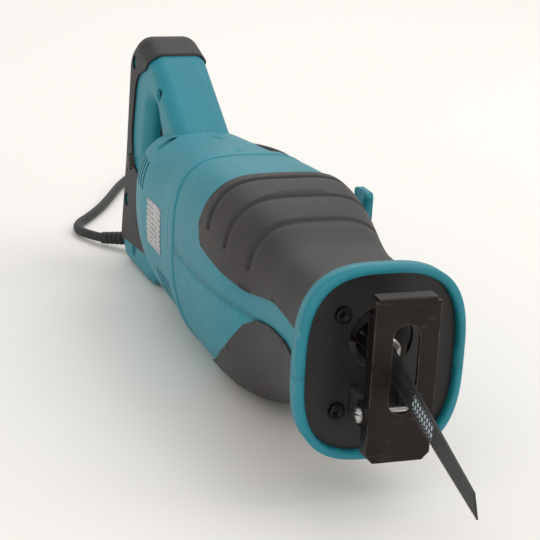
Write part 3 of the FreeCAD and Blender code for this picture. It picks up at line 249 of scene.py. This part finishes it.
bladeMarks = {"lean": 16.5, "pin": (-2.99, 0.0, 8.26), "halfHeight": 0.0083, "taper": 0.032,
              "bareTeeth": 0.0013, "printStart": 0.045, "printEnd": 0.071, "printHalf": 0.0042,
              "printRise": 0.0004, "dash": 330.0, "dashGap": 0.42, "rows": 300.0, "rowGap": 0.3,
              "rowShift": 0.37}


def bladePaint(name):
    marks = bladeMarks
    lean = math.radians(marks["lean"])
    origin = toolPoint(*marks["pin"])
    finish = Finish(name, Roughness=0.4, Metallic=0.0)
    reach = finish.along((math.cos(lean), 0.0, -math.sin(lean)), origin)
    rise = finish.along((math.sin(lean), 0.0, math.cos(lean)), origin)
    rubbed = finish.noise(70.0, 7.0, 0.75, finish.stretch((0.4, 1.0, 1.0)))
    wear = finish.ramp(rubbed, (0.56, 0.0), (0.66, 1.0))
    grit = finish.noise(500.0, 3.0)
    toothLine = rise + marks["halfHeight"] - marks["taper"] * reach
    bare = toothLine < marks["bareTeeth"]
    inPanel = (reach > marks["printStart"]) * (reach < marks["printEnd"])
    inPanel = inPanel * (finish.maths("ABSOLUTE", rise - marks["printRise"]) < marks["printHalf"])
    rowPlace = rise * marks["rows"]
    dashPlace = reach * marks["dash"] + finish.maths("FLOOR", rowPlace) * marks["rowShift"]
    dashes = finish.maths("FRACT", dashPlace) > marks["dashGap"]
    rows = finish.maths("FRACT", rowPlace) > marks["rowGap"]
    printed = inPanel * dashes * rows
    base = finish.mix(wear * 0.4, rgba(0.018, 0.017, 0.018), rgba(0.08, 0.075, 0.07))
    base = finish.mix(printed * 0.8, base, rgba(0.5, 0.62, 0.68))
    base = finish.mix(bare * 0.6, base, rgba(0.07, 0.066, 0.062))
    finish.set("Base Color", base)
    finish.set("Metallic", bare * 0.5)
    finish.set("Roughness", 0.42 - 0.1 * wear + 0.08 * grit)
    finish.bump(grit - wear * 0.6, 0.00006, 0.5)
    return finish.material


def windingCopper(name):
    finish = Finish(name, Metallic=1.0, Roughness=0.32)
    strands = finish.node("ShaderNodeTexWave", {}, {"Vector": finish.place, "Scale": 600.0, "Distortion": 1.5})
    shade = finish.noise(40.0)
    finish.set("Base Color", finish.mix(shade, rgba(0.48, 0.17, 0.06), rgba(0.75, 0.33, 0.13)))
    finish.set("Roughness", 0.25 + 0.2 * shade)
    finish.bump(strands, 0.0002, 0.7)
    return finish.material


labelMarks = {"lineRate": 310.0, "lineGap": 0.55, "blockScale": 260.0, "blockLimit": 0.48}


def labelFilm(name):
    finish = Finish(name, Roughness=0.3, Metallic=0.6)
    shade = finish.noise(30.0, 4.0)
    lineRows = finish.along((0, 0, 1), (0, 0, 0)) * labelMarks["lineRate"]
    lines = finish.maths("FRACT", lineRows) > labelMarks["lineGap"]
    spots = finish.noise(labelMarks["blockScale"], 1.0, 0.5, finish.stretch((1.0, 1.0, 0.15)))
    blocks = spots > labelMarks["blockLimit"]
    paper = finish.mix(shade, rgba(0.36, 0.37, 0.38), rgba(0.5, 0.51, 0.52))
    finish.set("Base Color", finish.mix(lines * blocks * 0.65, paper, rgba(0.06, 0.06, 0.07)))
    finish.set("Roughness", 0.25 + 0.2 * shade)
    finish.bump(finish.noise(800.0), 0.00003, 0.4)
    return finish.material


finishes = {
    "teal_plastic": mouldedPlastic("tealHousing", (0.004, 0.195, 0.25), (0.007, 0.235, 0.298),
                                   (0.07, 0.42, 0.48)),
    "black_plastic": mouldedPlastic("blackMoulding", (0.012, 0.012, 0.013), (0.03, 0.03, 0.03),
                                    (0.1, 0.1, 0.1)),
    "grip_rubber": gripRubber("softGrip", (0.017, 0.0152, 0.015), (0.036, 0.0318, 0.0305)),
    "seal_rubber": gripRubber("redSeal", (0.05, 0.006, 0.005), (0.08, 0.012, 0.009)),
    "cord_rubber": gripRubber("leadRubber", (0.008, 0.008, 0.009), (0.02, 0.02, 0.021)),
    "black_paint": mouldedPlastic("blackPaint", (0.0045, 0.004, 0.004), (0.008, 0.007, 0.0068),
                                  (0.08, 0.07, 0.065), 500.0, 0.4),
    "steel": machinedMetal("turnedSteel", (0.5, 0.49, 0.48), 0.25, (1.0, 6.0, 6.0)),
    "dark_steel": blackenedSteel("blackenedShoe"),
    "cast_alloy": castMetal("castAlloy", (0.55, 0.55, 0.56)),
    "bronze": machinedMetal("sinteredBronze", (0.55, 0.33, 0.13), 0.35, (1.0, 4.0, 4.0)),
    "copper": windingCopper("enamelledWire"),
    "blade_paint": bladePaint("bladePaint"),
    "label": labelFilm("ratingFilm"),
}
darkFinishes = {  # nodes that are darker than the rest of their slot
    "face_screws": machinedMetal("blackScrews", (0.022, 0.02, 0.02), 0.35),
    "clamp_collar": machinedMetal("blackCollar", (0.05, 0.047, 0.045), 0.32, (1.0, 5.0, 5.0)),
    "housing_screws": machinedMetal("housingScrewBlack", (0.03, 0.03, 0.03), 0.38),
    "handle_rubber": gripRubber("capRubber", (0.009, 0.0085, 0.009), (0.018, 0.0165, 0.0165)),
}
print("finishes made", len(finishes) + len(darkFinishes))


# copies of the shown nodes: doubles merged, edges sharper than the angle kept
copySetup = {"merge": 0.000002, "roundAngle": 42.0, "flatAngle": 28.0,
             "round": ("front_cover_upper", "front_cover_lower")}


def linkMesh(name, points, faces):
    mesh = bpy.data.meshes.new(name)
    mesh.from_pydata(points, [], faces)
    mesh.update()
    piece = bpy.data.objects.new(name, mesh)
    bpy.context.scene.collection.objects.link(piece)
    return piece


def onlySelect(piece):
    bpy.ops.object.select_all(action="DESELECT")
    piece.select_set(True)
    bpy.context.view_layer.objects.active = piece


def nodeBody(name):
    for body, nodes in frame["record"]["behaviour"]["bodies"].items():
        if name in nodes:
            return body


def slotOf(name):
    for entry in frame["record"]["subparts"]:
        if entry["node"] == name:
            return entry["material_slot"]


def smoothCopy(node):
    # a merged copy of the node, with smooth shading, stands in its place
    angle = copySetup["roundAngle"] if node in copySetup["round"] else copySetup["flatAngle"]
    original = frame["nodes"][node]
    mesh = original.data.copy()
    piece = bpy.data.objects.new(node + "Skin", mesh)
    bpy.context.scene.collection.objects.link(piece)
    onlySelect(piece)
    bpy.ops.object.mode_set(mode="EDIT")
    bpy.ops.mesh.select_all(action="SELECT")
    bpy.ops.mesh.remove_doubles(threshold=copySetup["merge"])
    bpy.ops.object.mode_set(mode="OBJECT")
    bpy.ops.object.shade_smooth_by_angle(angle=math.radians(angle))
    mesh.materials.clear()
    mesh.materials.append(darkFinishes.get(node, finishes[slotOf(node)]))
    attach(piece, nodeBody(node))
    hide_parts(node)


# the lead: one open spline from the guard, round the coil, to the plug
leadSetup = {"radius": 3.25, "floorZ": -76.0, "coilCentre": (-400.0, 92.0), "outerTurn": 42.5,
             "innerTurn": 23.0, "pointsPerTurn": 12, "entryAngle": 90.0, "turns": 6.125, "length": 1.94,
             "clearance": 0.05, "layerGap": 0.1, "liftTurns": 0.4, "tailAngle": 45.0,
             "tailSteps": (12, 24, 30), "tailHeight": -66.25, "roundness": 6, "steps": 8}
leadRoute = [(-447, -25, -70.9), (-464, -37, -72.0), (-486, -35, -72.7), (-505, -20, -72.7),
             (-529, -4, -72.7), (-557, 11, -72.7), (-586, 26, -72.7), (-616, 46, -72.7), (-650, 68, -72.7),
             (-682, 96, -72.7), (-700, 134, -72.7), (-690, 172, -72.7), (-655, 190, -72.7),
             (-614, 186, -72.7), (-574, 170, -72.7), (-532, 154, -72.7), (-490, 142, -72.7),
             (-448, 136, -72.7)]


def coilPoints():
    # turns wound inwards on the floor, then back outwards on top of them
    setup = leadSetup
    inward = 1 / ((3 + math.cos(2 * math.pi / setup["pointsPerTurn"])) / 4)
    half = setup["turns"] / 2
    low = setup["floorZ"] + setup["radius"] + setup["clearance"]
    points = []
    for step in range(round(setup["turns"] * setup["pointsPerTurn"]) + 1):
        turn = step / setup["pointsPerTurn"]
        away = abs(turn - half) / half
        radius = (setup["innerTurn"] + (setup["outerTurn"] - setup["innerTurn"]) * away) * inward
        lift = min(1.0, max(0.0, (turn - half + setup["liftTurns"] / 2) / setup["liftTurns"]))
        angle = math.radians(setup["entryAngle"]) - 2 * math.pi * turn
        x = setup["coilCentre"][0] + radius * math.cos(angle)
        y = setup["coilCentre"][1] + radius * math.sin(angle)
        points.append((x, y, low + lift * (2 * setup["radius"] + setup["layerGap"])))
    return points


def makeLead():
    turns = coilPoints()
    tailAngle = math.radians(leadSetup["tailAngle"])
    last = turns[-1]
    tail = []
    for reach in leadSetup["tailSteps"]:
        x = last[0] + math.sin(tailAngle) * reach
        y = last[1] - math.cos(tailAngle) * reach
        tail.append((x, y, leadSetup["tailHeight"]))
    curve = bpy.data.curves.new("lead", "CURVE")
    curve.dimensions = "3D"
    curve.bevel_depth = leadSetup["radius"] / 1000
    curve.bevel_resolution = leadSetup["roundness"]
    curve.resolution_u = leadSetup["steps"]
    curve.use_fill_caps = True
    spline = curve.splines.new("NURBS")
    route = leadRoute + turns + tail
    spline.points.add(len(route) - 1)
    for point, place in zip(spline.points, route):
        point.co = (*toolPoint(*place), 1.0)
    spline.order_u = 3
    spline.use_endpoint_u = True
    lead = bpy.data.objects.new("lead", curve)
    bpy.context.scene.collection.objects.link(lead)
    curve.materials.append(finishes["cord_rubber"])
    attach(lead, "saw")
    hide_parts("cord", "cord_coil", "cord_tail")


makeLead()
print("lead laid")

# the ribbed guard where the lead leaves the handle
guardSetup = {"route": [(-407, 0, -64), (-423, -1, -64.6), (-434, -12, -68), (-447, -25, -70.9)],
              "thick": 5.9, "thin": 4.2, "ribs": 13, "ribDepth": 0.7, "sides": 28, "ringsPerRib": 6,
              "grooveRings": (2, 3), "ribsStart": 0.25, "ribsEnd": 0.94, "shadeAngle": 35.0}


def centreline(points):
    curve = bpy.data.curves.new("line", "CURVE")
    curve.dimensions = "3D"
    curve.resolution_u = 24
    spline = curve.splines.new("NURBS")
    spline.points.add(len(points) - 1)
    for point, place in zip(spline.points, points):
        point.co = (*toolPoint(*place), 1.0)
    spline.order_u = 3
    spline.use_endpoint_u = True
    holder = bpy.data.objects.new("line", curve)
    mesh = bpy.data.meshes.new_from_object(holder)
    places = [vertex.co.copy() for vertex in mesh.vertices]
    bpy.data.objects.remove(holder)
    return places


def makeGuard():
    line = centreline(guardSetup["route"])
    distances = [0.0]
    for before, after in zip(line, line[1:]):
        distances.append(distances[-1] + (after - before).length)
    total = distances[-1]
    points = []
    faces = []
    rings = guardSetup["ribs"] * guardSetup["ringsPerRib"]
    sides = guardSetup["sides"]
    index = 0
    for ringNumber in range(rings + 1):
        along = total * ringNumber / rings
        while index < len(line) - 2 and distances[index + 1] < along:
            index += 1
        share = (along - distances[index]) / (distances[index + 1] - distances[index])
        centre = line[index].lerp(line[index + 1], share)
        ahead = (line[index + 1] - line[index]).normalized()
        side = ahead.cross(Vector((0, 0, 1))).normalized()
        lift = side.cross(ahead)
        part = ringNumber / rings
        radius = guardSetup["thick"] * (1 - part) + guardSetup["thin"] * part
        ribbed = guardSetup["ribsStart"] < part < guardSetup["ribsEnd"]
        if ribbed and ringNumber % guardSetup["ringsPerRib"] in guardSetup["grooveRings"]:
            radius -= guardSetup["ribDepth"]
        radius = min(radius, centre.z * 1000) / 1000  # it may touch the floor, never pass it
        for corner in range(sides):
            angle = 2 * math.pi * corner / sides
            points.append(centre + side * radius * math.cos(angle) + lift * radius * math.sin(angle))
    for ringNumber in range(rings):
        for corner in range(sides):
            nextCorner = (corner + 1) % sides
            low = ringNumber * sides
            faces.append((low + corner, low + sides + corner, low + sides + nextCorner, low + nextCorner))
    faces.append(tuple(range(sides)))
    faces.append(tuple(reversed(range(rings * sides, (rings + 1) * sides))))
    guard = linkMesh("leadGuard", points, faces)
    onlySelect(guard)
    bpy.ops.object.mode_set(mode="EDIT")
    bpy.ops.mesh.select_all(action="SELECT")
    bpy.ops.mesh.normals_make_consistent(inside=False)
    bpy.ops.object.mode_set(mode="OBJECT")
    bpy.ops.object.shade_smooth_by_angle(angle=math.radians(guardSetup["shadeAngle"]))
    guard.data.materials.append(finishes["cord_rubber"])
    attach(guard, "saw")
    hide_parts("cord_guard")


makeGuard()
print("guard made")

# every node gets its finish, and what shows gets a smooth copy
shownNodes = ["front_cover_upper", "front_cover_lower", "top_grip_pad", "lower_grip_pad", "left_housing",
              "right_housing", "handle_rubber", "housing_screws", "face_plate", "face_screws", "shoe",
              "shoe_pivot_pin", "shoe_bracket", "dust_seal", "clamp_collar", "clamp_body", "blade", "trigger",
              "lock_button", "mode_lever", "rating_label"]
remadeNodes = {"cord", "cord_coil", "cord_tail", "cord_guard"}  # the lead and its guard, made above


def dressNodes():
    for name, item in frame["nodes"].items():
        if name in remadeNodes:
            continue
        item.data.materials.clear()
        item.data.materials.append(finishes[slotOf(name)])
    for name in shownNodes:
        smoothCopy(name)


dressNodes()
print("nodes dressed")

# raised band round the covers' rear edge, cut from each cover and swelled
bandSetup = {"front": -0.0455, "rear": -0.0562, "proud": 0.0007, "rounding": 0.0005,
             "roundSteps": 2, "roundFrom": 50.0}


def makeRearBand(cover, name):
    mesh = frame["nodes"][cover].data.copy()
    band = bpy.data.objects.new(name, mesh)
    bpy.context.scene.collection.objects.link(band)
    onlySelect(band)
    bpy.ops.object.mode_set(mode="EDIT")
    bpy.ops.mesh.select_all(action="SELECT")
    bpy.ops.mesh.remove_doubles(threshold=copySetup["merge"])
    for place, ahead in ((bandSetup["front"], True), (bandSetup["rear"], False)):
        bpy.ops.mesh.select_all(action="SELECT")
        bpy.ops.mesh.bisect(plane_co=(place, 0, 0), plane_no=(1, 0, 0), use_fill=True,
                            clear_outer=ahead, clear_inner=not ahead)
    bpy.ops.mesh.select_all(action="SELECT")
    bpy.ops.mesh.normals_make_consistent(inside=False)
    bpy.ops.transform.shrink_fatten(value=bandSetup["proud"])
    bpy.ops.object.mode_set(mode="OBJECT")
    soften = band.modifiers.new("soften", "BEVEL")
    soften.width = bandSetup["rounding"]
    soften.segments = bandSetup["roundSteps"]
    soften.angle_limit = math.radians(bandSetup["roundFrom"])
    bpy.ops.object.modifier_apply(modifier=soften.name)
    bpy.ops.object.shade_smooth_by_angle(angle=math.radians(copySetup["roundAngle"]))
    mesh.materials.clear()
    mesh.materials.append(finishes["teal_plastic"])
    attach(band, "saw")


makeRearBand("front_cover_upper", "rearBandUpper")
makeRearBand("front_cover_lower", "rearBandLower")
print("rear bands made")

# room: pale floor, soft studio light
roomSetup = {"floorSize": 12.0, "floorDark": (0.86, 0.838, 0.808), "floorLight": (0.9, 0.88, 0.85),
             "worldStrength": 0.74, "skyColour": (1.0, 0.982, 0.958), "floorDrop": 0.0004, "aimHeight": 0.06}


def makeRoom():
    half = roomSetup["floorSize"]
    corners = [(-half, -half, 0), (half, -half, 0), (half, half, 0), (-half, half, 0)]
    drop = Vector((0, 0, roomSetup["floorDrop"]))
    floor = linkMesh("floor", [Vector(corner) - drop for corner in corners], [(0, 1, 2, 3)])
    finish = Finish("paleFloor", Roughness=0.7)
    shade = finish.noise(0.8, 2.0)
    pale = finish.mix(shade, rgba(*roomSetup["floorDark"]), rgba(*roomSetup["floorLight"]))
    finish.set("Base Color", pale)
    floor.data.materials.append(finish.material)
    world = bpy.data.worlds.new("studio")
    bpy.context.scene.world = world
    world.use_nodes = True
    sky = world.node_tree.nodes["Background"]
    sky.inputs["Color"].default_value = rgba(*roomSetup["skyColour"])
    sky.inputs["Strength"].default_value = roomSetup["worldStrength"]


# name, place, size, power
lampSetup = [("keyLamp", (0.3, 1.3, 1.7), 2.0, 17.0), ("fillLamp", (1.5, -1.2, 1.3), 1.4, 7.0),
             ("rimLamp", (-1.4, 0.4, 1.5), 1.2, 6.0)]


def makeLamps():
    target = Vector((0.0, 0.0, roomSetup["aimHeight"]))
    for name, place, size, power in lampSetup:
        data = bpy.data.lights.new(name, "AREA")
        data.shape = "SQUARE"
        data.size = size
        data.energy = power
        lamp = bpy.data.objects.new(name, data)
        bpy.context.scene.collection.objects.link(lamp)
        lamp.location = place
        lamp.rotation_euler = (target - Vector(place)).to_track_quat("-Z", "Y").to_euler()
    bpy.context.scene.view_settings.view_transform = "Standard"


makeRoom()
makeLamps()
print("room and lamps ready")
